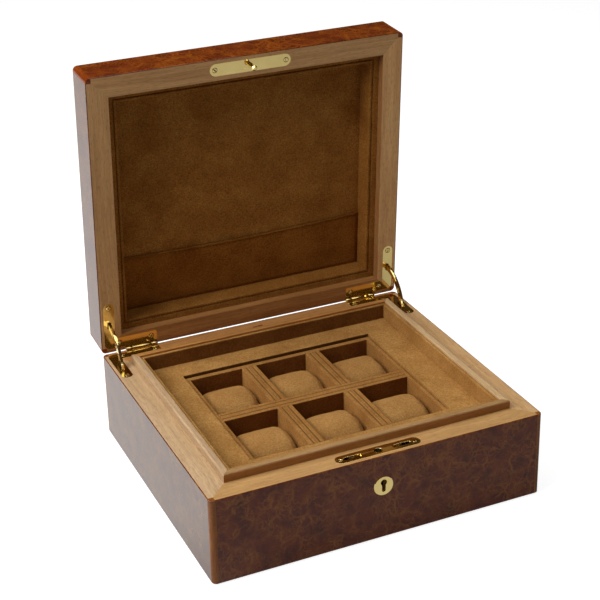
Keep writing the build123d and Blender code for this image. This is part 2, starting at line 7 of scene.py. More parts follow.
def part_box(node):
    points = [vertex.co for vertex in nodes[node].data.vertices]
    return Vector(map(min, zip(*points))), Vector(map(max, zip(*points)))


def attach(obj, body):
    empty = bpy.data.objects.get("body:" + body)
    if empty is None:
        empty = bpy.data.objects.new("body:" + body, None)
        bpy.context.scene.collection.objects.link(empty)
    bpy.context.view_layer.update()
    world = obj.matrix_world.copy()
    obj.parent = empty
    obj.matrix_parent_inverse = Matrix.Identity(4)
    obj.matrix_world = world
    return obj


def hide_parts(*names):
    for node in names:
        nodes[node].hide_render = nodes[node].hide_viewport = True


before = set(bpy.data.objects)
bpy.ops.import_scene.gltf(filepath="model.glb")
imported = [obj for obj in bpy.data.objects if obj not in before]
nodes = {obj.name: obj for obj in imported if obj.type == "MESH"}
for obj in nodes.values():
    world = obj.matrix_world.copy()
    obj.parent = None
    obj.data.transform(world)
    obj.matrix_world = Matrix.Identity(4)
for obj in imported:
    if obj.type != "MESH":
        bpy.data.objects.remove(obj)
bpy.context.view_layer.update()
MM = 0.001
OPEN_ANGLE = 87.0


# Camera, as fitted to the photograph: azimuth, elevation and roll in degrees
CAMERA_TURNS = (-24.112, 23.737, -1.167)
CAMERA_PLACE = (-0.48510, -1.06132, 0.72810)
CAMERA_LENS = 91.31
CAMERA_SHIFT = -0.1


def make_camera():
    """Set up the camera, whose frame is turned about its own line of sight by the roll."""
    azimuth, elevation, roll = (math.radians(a) for a in CAMERA_TURNS)
    back = Vector(
        (
            math.sin(azimuth) * math.cos(elevation),
            -math.cos(azimuth) * math.cos(elevation),
            math.sin(elevation),
        )
    )
    right = Vector((0, 0, 1)).cross(back).normalized()
    up = back.cross(right)
    x_axis = math.cos(roll) * right + math.sin(roll) * up
    y_axis = -math.sin(roll) * right + math.cos(roll) * up
    camera = bpy.data.objects.new("camera", bpy.data.cameras.new("camera"))
    camera.data.lens = CAMERA_LENS
    camera.data.sensor_width = 36
    camera.data.shift_y = CAMERA_SHIFT
    camera.data.clip_end = 50
    turn = Matrix((x_axis, y_axis, back)).transposed()
    camera.matrix_world = Matrix.Translation(CAMERA_PLACE) @ turn.to_4x4()
    bpy.context.scene.collection.objects.link(camera)
    bpy.context.scene.camera = camera


make_camera()


# How finishes are built from nodes
class Finish:
    """A material built up node by node on one principled shader."""

    def __init__(self, name, **surface):
        self.material = bpy.data.materials.new(name)
        self.material.use_nodes = True
        self.tree = self.material.node_tree
        self.shader = self.tree.nodes["Principled BSDF"]
        self.place = self.add("ShaderNodeTexCoord").outputs["Object"]
        for socket, value in surface.items():
            self.set(socket.replace("_", " "), value)

    def set(self, socket, value):
        """Put a number, a colour or another node's output on the shader."""
        self.join(self.shader.inputs[socket], value)

    def join(self, socket, value):
        """Link a node's output to a socket, or set the socket to a plain value."""
        if isinstance(value, bpy.types.NodeSocket):
            self.tree.links.new(value, socket)
        else:
            socket.default_value = value

    def add(self, kind, sockets=None, **settings):
        """A new node with its settings, and its sockets set or linked."""
        node = self.tree.nodes.new(kind)
        for key, value in settings.items():
            setattr(node, key, value)
        for key, value in (sockets or {}).items():
            self.join(node.inputs[key], value)
        return node

    def mapped(self, scale=(1, 1, 1), turn=(0, 0, 0), place=None):
        """The place, turned and stretched, for a pattern that runs one way."""
        sockets = {
            "Vector": place or self.place,
            "Scale": scale,
            "Rotation": [math.radians(a) for a in turn],
        }
        return self.add("ShaderNodeMapping", sockets).outputs[0]

    def noise(self, place, scale, detail=4, rough=0.55, colour=False):
        """A cloudy value from 0 to 1, or three of them as a colour."""
        sockets = {"Vector": place, "Scale": scale, "Detail": detail, "Roughness": rough}
        return self.add("ShaderNodeTexNoise", sockets).outputs[1 if colour else 0]

    def veins(self, place, scale, feature="DISTANCE_TO_EDGE"):
        """How far a place is from the edge, or from the middle, of its cell."""
        sockets = {"Vector": place, "Scale": scale}
        return self.add("ShaderNodeTexVoronoi", sockets, feature=feature).outputs["Distance"]

    def ramp(self, value, *stops):
        """A colour ramp; each stop is a place and a colour or a grey level."""
        node = self.add("ShaderNodeValToRGB", {"Fac": value})
        marks = node.color_ramp.elements
        while len(marks) < len(stops):
            marks.new(0.5)
        for mark, (at, colour) in zip(marks, stops):
            mark.position = at
            grey = isinstance(colour, (int, float))
            mark.color = (colour, colour, colour, 1) if grey else (*colour, 1)
        return node.outputs[0]

    def range(self, value, low, high, to_low=0.0, to_high=1.0):
        """The value stretched from one range to another, and held within it."""
        sockets = {
            "Value": value,
            "From Min": low,
            "From Max": high,
            "To Min": to_low,
            "To Max": to_high,
        }
        return self.add("ShaderNodeMapRange", sockets).outputs[0]

    def math(self, way, a, b=0.0):
        """One sum on two values, each a number or another node's output."""
        node = self.add("ShaderNodeMath", operation=way)
        self.join(node.inputs[0], a)
        self.join(node.inputs[1], b)
        return node.outputs[0]

    def mix(self, share, a, b, way="MIX"):
        """Two colours mixed, with the share of the second."""
        node = self.add("ShaderNodeMix", data_type="RGBA", blend_type=way)
        self.join(node.inputs[0], share)
        for socket, colour in ((node.inputs[6], a), (node.inputs[7], b)):
            if not isinstance(colour, bpy.types.NodeSocket):
                colour = (*colour, 1)
            self.join(socket, colour)
        return node.outputs[2]

    def nudge(self, place, by, amount):
        """Shift a place by a noise colour, to bend a pattern."""
        centred = self.add("ShaderNodeVectorMath", operation="SUBTRACT")
        self.join(centred.inputs[0], by)
        centred.inputs[1].default_value = (0.5, 0.5, 0.5)
        scaled = self.add("ShaderNodeVectorMath", operation="SCALE")
        self.join(scaled.inputs[0], centred.outputs[0])
        scaled.inputs["Scale"].default_value = amount
        total = self.add("ShaderNodeVectorMath", operation="ADD")
        self.join(total.inputs[0], place)
        self.join(total.inputs[1], scaled.outputs[0])
        return total.outputs[0]

    def facing(self, axis, low, high):
        """How squarely the surface looks along one axis of the object, either way."""
        normal = self.add("ShaderNodeTexCoord").outputs["Normal"]
        share = self.add("ShaderNodeSeparateXYZ", {"Vector": normal}).outputs[axis]
        return self.range(self.math("ABSOLUTE", share), low, high)

    def bump(self, height, strength, depth, before=None):
        """A bumped normal, on top of the one before it if there is one."""
        sockets = {"Height": height, "Strength": strength, "Distance": depth}
        if before is not None:
            sockets["Normal"] = before
        return self.add("ShaderNodeBump", sockets).outputs[0]


LID_TURN = (OPEN_ANGLE, 0, 0)
GLOSS_COAT = {"Roughness": 0.5, "Coat_IOR": 1.36}
BURR_GROUND = (
    (0.30, (0.070, 0.010, 0.002)),
    (0.48, (0.120, 0.019, 0.004)),
    (0.62, (0.160, 0.030, 0.005)),
    (0.80, (0.235, 0.058, 0.007)),
)
BURR_VEIN_LID = (0.36, 0.096, 0.006)
BURR_VEIN_BASE = (0.34, 0.118, 0.012)
BURR_VEIN_SHARE = 0.66
BURR_EYE = (0.035, 0.006, 0.003)
# The sides' tone is painted shade, for how the light falls on the box's sides.
BURR_SIDE_PAINTED_SHADE = (0.70, 1.0, 0.8)


def burr_veneer(name, on_lid):
    """High-gloss burr: a dark red-brown ground, a net of fine golden veins and small eyes."""
    f = Finish(name, Coat_Weight=1.0, Coat_Roughness=0.03, **GLOSS_COAT)
    f.set("Specular IOR Level", 0.0)
    place = f.mapped(turn=LID_TURN if on_lid else (0, 0, 0))
    swirled = f.nudge(place, f.noise(place, 42, 4, 0.6, colour=True), 0.020)
    rippled = f.nudge(swirled, f.noise(place, 240, 3, 0.65, colour=True), 0.0042)
    ground = f.ramp(f.noise(rippled, 60, 5, 0.6), *BURR_GROUND)
    wide = f.range(f.veins(rippled, 64), 0.0, 0.10, 1.0, 0.0)
    narrow = f.range(f.veins(rippled, 135), 0.0, 0.11, 1.0, 0.0)
    hair = f.range(f.veins(rippled, 310), 0.0, 0.13, 1.0, 0.0)
    patchy = f.range(f.noise(place, 70, 3), 0.36, 0.60)
    tufts = f.range(f.noise(swirled, 48, 2), 0.46, 0.64)
    net = f.math("MAXIMUM", f.math("MULTIPLY", wide, 0.9), f.math("MULTIPLY", narrow, 0.75))
    net = f.math("MULTIPLY", net, patchy)
    net = f.math("MAXIMUM", net, f.math("MULTIPLY", f.math("MULTIPLY", hair, tufts), 0.7))
    vein = BURR_VEIN_LID if on_lid else BURR_VEIN_BASE
    colour = f.mix(f.math("MULTIPLY", net, BURR_VEIN_SHARE), ground, vein)
    eyes = f.range(f.veins(rippled, 100, "F1"), 0.10, 0.24, 1.0, 0.0)
    eyes = f.math("MULTIPLY", eyes, f.range(f.noise(place, 33, 2), 0.50, 0.60))
    colour = f.mix(f.math("MULTIPLY", eyes, 0.6), colour, BURR_EYE)
    streak = f.noise(rippled, 700, 3, 0.7)
    colour = f.mix(0.5, colour, f.ramp(streak, (0.3, 0.32), (0.7, 0.70)), "OVERLAY")
    # Painted shade: the faces that look along X, the box's sides, are toned darker and less red
    # for how the light falls on them.
    painted_side_shade = f.mix(1.0, colour, BURR_SIDE_PAINTED_SHADE, "MULTIPLY")
    f.set("Base Color", f.mix(f.facing("X", 0.6, 0.9), colour, painted_side_shade))
    return f.material


def strip_wood(name, on_lid):
    """The glossy straight-grained strip of the corners, with fine cross ticks."""
    f = Finish(name, Coat_Weight=0.6, Coat_Roughness=0.04, **GLOSS_COAT)
    f.set("Specular IOR Level", 0.0)
    place = f.mapped(turn=LID_TURN if on_lid else (0, 0, 0))
    along = f.mapped((1, 1, 0.09), place=place)
    fibres = f.noise(along, 900, 4, 0.6)
    bands = f.noise(along, 190, 3, 0.5)
    dark, light = STRIP_LID if on_lid else STRIP_BASE
    colour = f.ramp(bands, (0.3, dark), (0.7, light))
    colour = f.mix(0.5, colour, f.ramp(fibres, (0.25, 0.30), (0.75, 0.75)), "OVERLAY")
    ticks = f.noise(f.mapped((1, 1, 4.5), place=place), 260, 3, 0.6)
    colour = f.mix(f.range(ticks, 0.52, 0.70, 0, 0.5), colour, [c * 0.45 for c in dark])
    f.set("Base Color", colour)
    return f.material


def along_grain(grain, share):
    """A scale that draws a pattern out along the grain."""
    return (share, 1, 1) if grain == "x" else (1, share, 1)


def straight_wood(
    name,
    light,
    dark,
    grain,
    on_lid=False,
    gloss=0.38,
    coat=0.15,
    sheen=0.4,
    upright_shade=None,
    axis="Y",
):
    """Pale wood with its grain along X or Y, in soft stripes with fine pores.

    A painted shade can darken the faces that look along the axis, where less light falls on
    them.
    """
    f = Finish(name, Roughness=gloss, Coat_Weight=coat, Coat_Roughness=0.2)
    f.set("Specular IOR Level", sheen)
    place = f.mapped(turn=LID_TURN if on_lid else (0, 0, 0))
    along = f.mapped(along_grain(grain, 0.05), place=place)
    wavy = f.nudge(along, f.noise(place, 9, 2, colour=True), 0.008)
    bands = f.noise(wavy, 150, 5, 0.65)
    stripes = f.noise(wavy, 560, 4, 0.7)
    colour = f.ramp(bands, (0.30, dark), (0.70, light))
    colour = f.mix(0.5, colour, f.ramp(stripes, (0.28, 0.28), (0.72, 0.72)), "OVERLAY")
    pore = f.noise(f.mapped(along_grain(grain, 0.16), place=place), 1150, 3, 0.6)
    pore = f.range(pore, 0.52, 0.70)
    colour = f.mix(f.math("MULTIPLY", pore, 0.5), colour, [c * 0.5 for c in dark])
    # Painted shade on the faces that look along the axis.
    if upright_shade:
        painted_side_shade = f.mix(1.0, colour, upright_shade, "MULTIPLY")
        colour = f.mix(f.facing(axis, 0.7, 0.95), colour, painted_side_shade)
    f.set("Base Color", colour)
    f.set("Roughness", f.range(stripes, 0.3, 0.7, gloss - 0.05, gloss + 0.08))
    f.set("Normal", f.bump(stripes, 0.25, 0.00015))
    return f.material


def suede(name, light, dark, brushed=0.5, grain=0.7, turn=(0, 0, 0), upright_shade=1.0, seams=None):
    """Suede cloth with a short nap that is brushed lighter and darker in places.

    A painted shade darkens the faces that look along Y; seams places the sewn lines, darkened
    with painted shade in their grooves.
    """
    f = Finish(name, Roughness=0.95, Sheen_Weight=0.3, Sheen_Roughness=0.45)
    f.set("Sheen Tint", (*[min(1, c * 2.2) for c in light], 1))
    f.set("Specular IOR Level", 0.1)
    place = f.mapped(turn=turn)
    clouds = f.noise(f.nudge(place, f.noise(place, 22, 3, colour=True), 0.02), 34, 5, 0.62)
    mottle = f.noise(place, 230, 4, 0.7)
    nap = f.noise(place, 680, 4, 0.75)
    fleck = f.noise(place, 1700, 2, 0.6)
    colour = f.mix(f.range(clouds, 0.5 - brushed / 3, 0.5 + brushed / 3), dark, light)
    ruddy = [dark[0] * 1.12, dark[1] * 0.88, dark[2] * 0.75]
    colour = f.mix(f.range(mottle, 0.50, 0.72, 0, 0.45), colour, ruddy)
    colour = f.mix(grain, colour, f.ramp(nap, (0.30, 0.22), (0.70, 0.78)), "OVERLAY")
    colour = f.mix(grain * 0.6, colour, f.ramp(fleck, (0.3, 0.32), (0.7, 0.70)), "OVERLAY")
    if seams:
        seam_and_shade = sewn_line_and_shade(f, *seams)
        # Painted shade in the sewn grooves; the bump further down gives the groove itself.
        colour = f.mix(f.math("MULTIPLY", seam_and_shade, 0.7), colour, [c * 0.35 for c in dark])
    # Painted shade: faces that look along Y are darker and redder, for the little light that
    # falls on them.
    if upright_shade < 1:
        shade = [upright_shade, upright_shade * 0.72, upright_shade * 0.5]
        shaded = f.mix(1.0, colour, shade, "MULTIPLY")
        colour = f.mix(f.facing("Y", 0.6, 0.9), colour, shaded)
    f.set("Base Color", colour)
    height = f.math("ADD", nap, f.math("MULTIPLY", fleck, 0.5))
    nap_bump = f.bump(height, 0.7, 0.0007)
    if seams:
        nap_bump = f.bump(f.math("SUBTRACT", 1.0, seam_and_shade), 1.0, 0.0008, nap_bump)
    f.set("Normal", nap_bump)
    return f.material


def sewn_line_and_shade(f, axis, middle, apart):
    """Where the cover is sewn down, along two lines either side of a divider's middle; the
    darkening drawn from it is painted shade in the sewn groove.
    """
    across = f.add("ShaderNodeSeparateXYZ", {"Vector": f.place}).outputs[axis]
    if axis == "X":
        across = f.math("ABSOLUTE", across)
    off = f.math("ABSOLUTE", f.math("SUBTRACT", across, middle))
    off = f.math("ABSOLUTE", f.math("SUBTRACT", off, apart / 2))
    seam_and_shade = f.range(off, 0.0002, 0.0007, 1.0, 0.0)
    return f.math("MULTIPLY", seam_and_shade, f.facing("Z", 0.6, 0.9))


def metal(name, colour, worn, rough):
    """Polished metal with faint smears and hairline marks."""
    f = Finish(name, Metallic=1.0)
    smear = f.noise(f.place, 55, 4, 0.6)
    hairline = f.noise(f.mapped((1, 6, 6)), 900, 2, 0.5)
    f.set("Base Color", f.mix(f.range(smear, 0.35, 0.75, 0, 0.5), colour, worn))
    smears = f.range(smear, 0.3, 0.7, 0, 0.05)
    hairlines = f.range(hairline, 0.5, 0.8, 0, 0.05)
    f.set("Roughness", f.math("ADD", f.math("ADD", smears, hairlines), rough))
    f.set("Normal", f.bump(smear, 0.08, 0.0004))
    return f.material


def plain_board(name):
    """The unseen boards: plain plywood."""
    f = Finish(name, Roughness=0.75)
    bands = f.noise(f.mapped((0.06, 1, 1)), 120, 4, 0.6)
    f.set("Base Color", f.ramp(bands, (0.3, (0.42, 0.28, 0.15)), (0.7, (0.60, 0.44, 0.26))))
    return f.material


def baize(name):
    """The woolly cloth under the box."""
    f = Finish(name, Roughness=1.0, Sheen_Weight=0.3)
    wool = f.noise(f.place, 900, 4, 0.7)
    f.set("Base Color", f.ramp(wool, (0.3, (0.035, 0.022, 0.012)), (0.7, (0.10, 0.065, 0.035))))
    f.set("Normal", f.bump(wool, 0.6, 0.0006))
    return f.material


# Colours: a light and a dark tone of each, by side where the sides differ; the sides of one
# wood differ by painted light and shade
RIM_WOOD_LIT_BY_SIDE = {
    "front": ((0.55, 0.315, 0.120), (0.455, 0.242, 0.081)),
    "back": ((0.585, 0.280, 0.095), (0.475, 0.210, 0.060)),
    "left": ((0.585, 0.395, 0.225), (0.475, 0.305, 0.155)),
    "right": ((0.69, 0.430, 0.205), (0.57, 0.330, 0.140)),
}
LID_WOOD = (0.60, 0.345, 0.150), (0.45, 0.235, 0.090)
# The lid's right wall is a lighter, lit copy of the lid's wood, with painted shade on its
# X-facing faces; its back wall is a darker, shaded copy.
LID_WOOD_RIGHT_LIT = (0.79, 0.46, 0.20), (0.61, 0.32, 0.125)
LID_RIGHT_UPRIGHT_SHADE = (0.5, 0.42, 0.34)
LID_WOOD_BACK_SHADED = (0.44, 0.205, 0.066), (0.32, 0.135, 0.038)
LIP_WOOD_LIT_BY_SIDE = {
    "front": ((0.41, 0.235, 0.090), (0.33, 0.170, 0.060)),
    "back": ((0.50, 0.240, 0.065), (0.40, 0.170, 0.040)),
    "left": ((0.52, 0.350, 0.200), (0.42, 0.260, 0.130)),
    "right": ((0.67, 0.465, 0.250), (0.54, 0.340, 0.160)),
}
# Painted shade for the lips' faces that look along Y.
LIP_UPRIGHT_SHADE = (0.95, 0.66, 0.36)
STRIP_BASE = (0.17, 0.055, 0.012), (0.33, 0.115, 0.026)
STRIP_LID = (0.13, 0.022, 0.003), (0.31, 0.066, 0.009)
SUEDE_LIGHT = (0.43, 0.225, 0.066)
SUEDE_DARK = (0.30, 0.140, 0.034)
INSERT_LIGHT = (0.37, 0.18, 0.050)
INSERT_DARK = (0.26, 0.112, 0.026)
# Painted shade for the insert's faces that look along Y.
INSERT_UPRIGHT_SHADE = 0.55
CUSHION_SUEDE = (0.42, 0.222, 0.068), (0.315, 0.152, 0.042)
# The lid's suede, and the pocket's darker still, are the lining suede darkened: painted shade
# for the upright lid's lining.
LID_SUEDE_SHADED = (0.35, 0.152, 0.030), (0.22, 0.081, 0.0125)
POCKET_SUEDE_SHADED = (0.28, 0.103, 0.015), (0.175, 0.055, 0.006)

BRASS = (0.88, 0.69, 0.28), (0.76, 0.56, 0.19)
# The screw seat colour is painted shadow, for the countersinks and slots round the heads.
SCREW_SHADOW_SEAT = (0.13, 0.070, 0.016), (0.07, 0.034, 0.008)
STEEL = (0.56, 0.55, 0.53), (0.42, 0.41, 0.40)

# The dividers' middles, on either side of which their covers are sewn
low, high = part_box("insert_long_divider")
LONG_MIDDLE = (low.y + high.y) / 2
CROSS_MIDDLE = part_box("insert_cross_dividers")[1].x - (high.y - low.y) / 2
SEAMS_APART = 0.0056
CROSS_SEAMS = ("X", CROSS_MIDDLE, SEAMS_APART)
LONG_SEAMS = ("Y", LONG_MIDDLE, SEAMS_APART)

finishes = {
    "burr_base": burr_veneer("burr_veneer_base", False),
    "burr_lid": burr_veneer("burr_veneer_lid", True),
    "strip_base": strip_wood("corner_strip_base", False),
    "strip_lid": strip_wood("corner_strip_lid", True),
    # The upright numbers paint shade on the faces that look along Y.
    "suede_liner": suede("suede_liner", SUEDE_LIGHT, SUEDE_DARK, upright_shade=0.45),
    "suede_insert": suede("suede_insert", INSERT_LIGHT, INSERT_DARK, upright_shade=INSERT_UPRIGHT_SHADE),
    "insert_cross_dividers": suede(
        "suede_cross", INSERT_LIGHT, INSERT_DARK, upright_shade=INSERT_UPRIGHT_SHADE, seams=CROSS_SEAMS
    ),
    "insert_long_divider": suede(
        "suede_long", INSERT_LIGHT, INSERT_DARK, upright_shade=INSERT_UPRIGHT_SHADE, seams=LONG_SEAMS
    ),
    "suede_lid_shaded": suede("suede_lid_shaded", *LID_SUEDE_SHADED, brushed=0.6, grain=1.0, turn=LID_TURN),
    "suede_pocket_shaded": suede("suede_pocket_shaded", *POCKET_SUEDE_SHADED, brushed=0.6, grain=1.0, turn=LID_TURN),
    "suede_panel": suede("suede_panel", SUEDE_LIGHT, SUEDE_DARK, upright_shade=0.25),
    "suede_cushion": suede("suede_cushion", *CUSHION_SUEDE, brushed=0.7, grain=0.6),
    "brass": metal("brass_polished", *BRASS, rough=0.07),
    "shadow_seat": metal("screw_shadow_seat", *SCREW_SHADOW_SEAT, rough=0.35),
    "steel": metal("steel_plain", *STEEL, rough=0.25),
    "board": plain_board("plywood"),
    "baize": baize("baize"),
}
LID_DULL = {"on_lid": True, "gloss": 0.5, "coat": 0.0, "sheen": 0.12}
for grain, sides in (("x", ("front", "back")), ("y", ("left", "right"))):
    lid_rim = straight_wood(f"lid_wood_{grain}", *LID_WOOD, grain, **LID_DULL)
    for side in sides:
        rim = straight_wood(f"rim_wood_lit_by_side_{side}", *RIM_WOOD_LIT_BY_SIDE[side], grain)
        finishes[f"base_{side}_wall"] = rim
        finishes[f"lip_{side}"] = straight_wood(
            f"lip_wood_lit_by_side_{side}", *LIP_WOOD_LIT_BY_SIDE[side], grain, coat=0.08, upright_shade=LIP_UPRIGHT_SHADE
        )
        finishes[f"lid_{side}_wall"] = lid_rim
# Painted light and shade: the lid's back wall in a darker copy, its right wall in a lighter
# one.
finishes["lid_back_wall"] = straight_wood("lid_wood_back_shaded", *LID_WOOD_BACK_SHADED, "x", **LID_DULL)
finishes["lid_right_wall"] = straight_wood(
    "lid_wood_right_lit", *LID_WOOD_RIGHT_LIT, "y", upright_shade=LID_RIGHT_UPRIGHT_SHADE, axis="X", **LID_DULL
)


def wear(name, finish):
    """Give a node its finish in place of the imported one."""
    mesh = nodes[name].data
    mesh.materials.clear()
    mesh.materials.append(finishes[finish])


for name in nodes:
    if name in finishes:
        wear(name, name)
    elif name.endswith("_veneer") or name.endswith("_veneers"):
        wear(name, "burr_lid" if name.startswith("lid") else "burr_base")
    elif name.endswith("corner_strips"):
        wear(name, "strip_lid" if name.startswith("lid") else "strip_base")
    elif name in ("base_bottom_board", "panel_bearers", "lid_top_board"):
        wear(name, "board")
    elif name == "base_baize":
        wear(name, "baize")
    elif name == "lock_bolt":
        wear(name, "steel")
    elif name in ("lid_ledges", "lid_liner", "lid_panel", "lid_pocket"):
        wear(name, "suede_lid_shaded")
    elif name == "surround_panel":
        wear(name, "suede_panel")
    elif name.startswith("insert"):
        wear(name, "suede_insert")
    elif name.startswith(("base_liner", "floor_lining", "cushion")):
        wear(name, "suede_liner")
    else:
        wear(name, "brass")


# Softer edges on the covered boards and the brass
def ease(name, width, segments=3):
    """Round a node's edges, as cloth wrapped over them or a file does. Widths are in mm."""
    piece = nodes[name]
    piece.modifiers.new("weld", "WELD").merge_threshold = 0.00001
    bevel = piece.modifiers.new("ease", "BEVEL")
    bevel.width = width * MM
    bevel.segments = segments
    bevel.limit_method = "ANGLE"
    bevel.angle_limit = math.radians(40)
    bevel.harden_normals = True


for name in ("insert_tray", "insert_long_divider", "insert_cross_dividers", "surround_panel"):
    ease(name, 0.7)
ease("lid_ledges", 0.45)
for name in ("lock_plate", "strike_plate"):
    ease(name, 0.3, 2)
for side in ("left", "right"):
    ease(f"{side}_hinge_base_leaf", 0.22, 2)
    ease(f"{side}_hinge_lid_leaf", 0.22, 2)
    ease(f"{side}_quadrant_arm", 0.5, 3)


# Cushions: the wrap's shape in shares of its box, then its cloth and its seams
WRAP_CUTS = 15
WRAP_SQUARENESS = 3.0
CROWN = 0.13
DRAW_FROM = 0.66
DRAW_SPAN = 0.34
DRAW_IN = 0.19
DRAW_POWER = 2.2
SWELL = 0.03
RIPPLE = 0.012
CUSHION_CUT = 0.965
CUSHION_SHORTER = 0.965
CUSHION_VOXEL = 0.0026
CUSHION_PRESSURE = 4
CUSHION_PUFF = 0.0012
CLOTH_FRAMES = 20
SEAM_AT = 0.83
SEAM_SPREAD = 0.045
SEAM_PULL = 0.0015


def smooth(mesh):
    """Shade a mesh smooth all over."""
    for polygon in mesh.polygons:
        polygon.use_smooth = True


def new_piece(name, form, finish, body):
    """Turn a finished bmesh into a named object on its body."""
    bmesh.ops.recalc_face_normals(form, faces=form.faces)
    mesh = bpy.data.meshes.new(name)
    form.to_mesh(mesh)
    form.free()
    smooth(mesh)
    mesh.materials.append(finishes[finish])
    piece = bpy.data.objects.new(name, mesh)
    bpy.context.scene.collection.objects.link(piece)
    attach(piece, body)
    return piece


def settled(piece):
    """The piece's mesh as its modifiers leave it."""
    graph = bpy.context.evaluated_depsgraph_get()
    return bpy.data.meshes.new_from_object(piece.evaluated_get(graph))


def stuff(piece):
    """Blow the sewn wrap up as cloth, and hold it near the shape that it was cut to."""
    voxels = piece.modifiers.new("voxels", "REMESH")
    voxels.mode = "VOXEL"
    voxels.voxel_size = CUSHION_VOXEL
    piece.data = settled(piece)
    piece.modifiers.clear()
    start = [vertex.co.copy() for vertex in piece.data.vertices]
    cloth = piece.modifiers.new("cloth", "CLOTH")
    cloth.settings.use_pressure = True
    cloth.settings.uniform_pressure_force = CUSHION_PRESSURE
    cloth.settings.effector_weights.gravity = 0
    cloth.point_cache.frame_end = CLOTH_FRAMES
    for step in range(1, CLOTH_FRAMES + 1):
        bpy.context.scene.frame_set(step)
    piece.data = settled(piece)
    piece.modifiers.clear()
    bpy.context.scene.frame_set(1)
    for vertex, cut in zip(piece.data.vertices, start):
        move = vertex.co - cut
        if move.length > CUSHION_PUFF:
            vertex.co = cut + move * (CUSHION_PUFF / move.length)
    soften = piece.modifiers.new("soften", "SUBSURF")
    soften.levels = soften.render_levels = 1
    piece.data = settled(piece)
    piece.modifiers.clear()


def sew_ends(piece, middle, half):
    """Pull the wrap in along the seam where each end panel is sewn to it."""
    for vertex in piece.data.vertices:
        x, y, z = vertex.co - middle
        away = (abs(x) / half.x - SEAM_AT) / SEAM_SPREAD
        pull = SEAM_PULL * math.exp(-away * away) / math.hypot(y, z)
        vertex.co = middle + Vector((x, y * (1 - pull), z * (1 - pull)))


def cut_wrap(middle, half):
    """The wrap of a cushion as it is cut: crowned, and drawn in towards its ends."""
    form = bmesh.new()
    bmesh.ops.create_cube(form, size=2)
    bmesh.ops.subdivide_edges(form, edges=form.edges, cuts=WRAP_CUTS, use_grid_fill=True)
    for vertex in form.verts:
        x, y, z = vertex.co
        reach = (abs(y) ** WRAP_SQUARENESS + abs(z) ** WRAP_SQUARENESS) ** (1 / WRAP_SQUARENESS)
        round_off = max(abs(y), abs(z)) / max(reach, 1e-6)
        y, z = y * round_off, z * round_off
        crown = 1 - CROWN * y * y if z > 0 else 1
        draw = 1 - DRAW_IN * max(0.0, (abs(x) - DRAW_FROM) / DRAW_SPAN) ** DRAW_POWER
        swell = 1 - SWELL * x * x
        y, z = y * draw * swell, z * crown * (draw * swell if z > 0 else 1)
        ripple = noise.noise(Vector((x * 2.2, y * 2.0, z * 2.0)) + middle * 60)
        place = Vector((x, y, z)) * (CUSHION_CUT + RIPPLE * ripple)
        place.x *= CUSHION_SHORTER
        vertex.co = Vector(place[i] * half[i] for i in range(3)) + middle
    return form


def cushion(name):
    """A stuffed roll along X, with a seam near each end."""
    low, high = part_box(name)
    middle = (low + high) / 2
    half = (high - low) / 2
    piece = new_piece(f"{name}_roll", cut_wrap(middle, half), "suede_cushion", name)
    stuff(piece)
    sew_ends(piece, middle, half)
    smooth(piece.data)
    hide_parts(name)


for row in ("front", "back"):
    for column in ("left", "middle", "right"):
        cushion(f"cushion_{row}_{column}")


# Pocket in the lid, drawn with the lid shut and then opened with it
POCKET_SAG = 0.0028
POCKET_BELLY = 0.0008
POCKET_CLOTH = 0.8
POCKET_ROWS = 14
HEM_RADIUS = 0.0009
HEM_SIDES = 10
HEM_STEPS = 60
HINGE_PLACE = (0, 0.1334, 0.0781)
HINGE = Matrix.Translation(HINGE_PLACE)
OPENING = HINGE @ Matrix.Rotation(math.radians(-OPEN_ANGLE), 4, "X") @ HINGE.inverted()


def shut_box(name):
    """The lowest and highest corners of a lid node, with the lid shut."""
    shut = OPENING.inverted()
    spots = [shut @ vertex.co for vertex in nodes[name].data.vertices]
    corners = [[way(spot[i] for spot in spots) for i in range(3)] for way in (min, max)]
    return Vector(corners[0]), Vector(corners[1])


def pocket_edge(share, low, high):
    """A place on the pocket's open edge, which hangs in a shallow curve."""
    hang = POCKET_SAG * 4 * share * (1 - share)
    belly = POCKET_BELLY * math.sin(math.pi * share)
    across = low.x + share * (high.x - low.x)
    return Vector((across, low.y + hang, low.z - belly))


def pocket_cloth(low, high):
    """The pocket's cloth, from its open edge down to its seam at the hinge side."""
    form = bmesh.new()
    bmesh.ops.create_grid(form, x_segments=HEM_STEPS, y_segments=POCKET_ROWS, size=1)
    for vertex in form.verts:
        share, down = (vertex.co.x + 1) / 2, (1 - vertex.co.y) / 2
        edge = pocket_edge(share, low, high)
        y = edge.y + down * (high.y - edge.y)
        z = low.z + (edge.z - low.z) * (1 - down) ** 2
        vertex.co = OPENING @ Vector((edge.x, y, z))
    pocket = new_piece("lid_pocket_cloth", form, "suede_pocket_shaded", "lid")
    cloth = pocket.modifiers.new("cloth", "SOLIDIFY")
    cloth.thickness = (high.z - low.z) * POCKET_CLOTH
    cloth.offset = -1
    return pocket


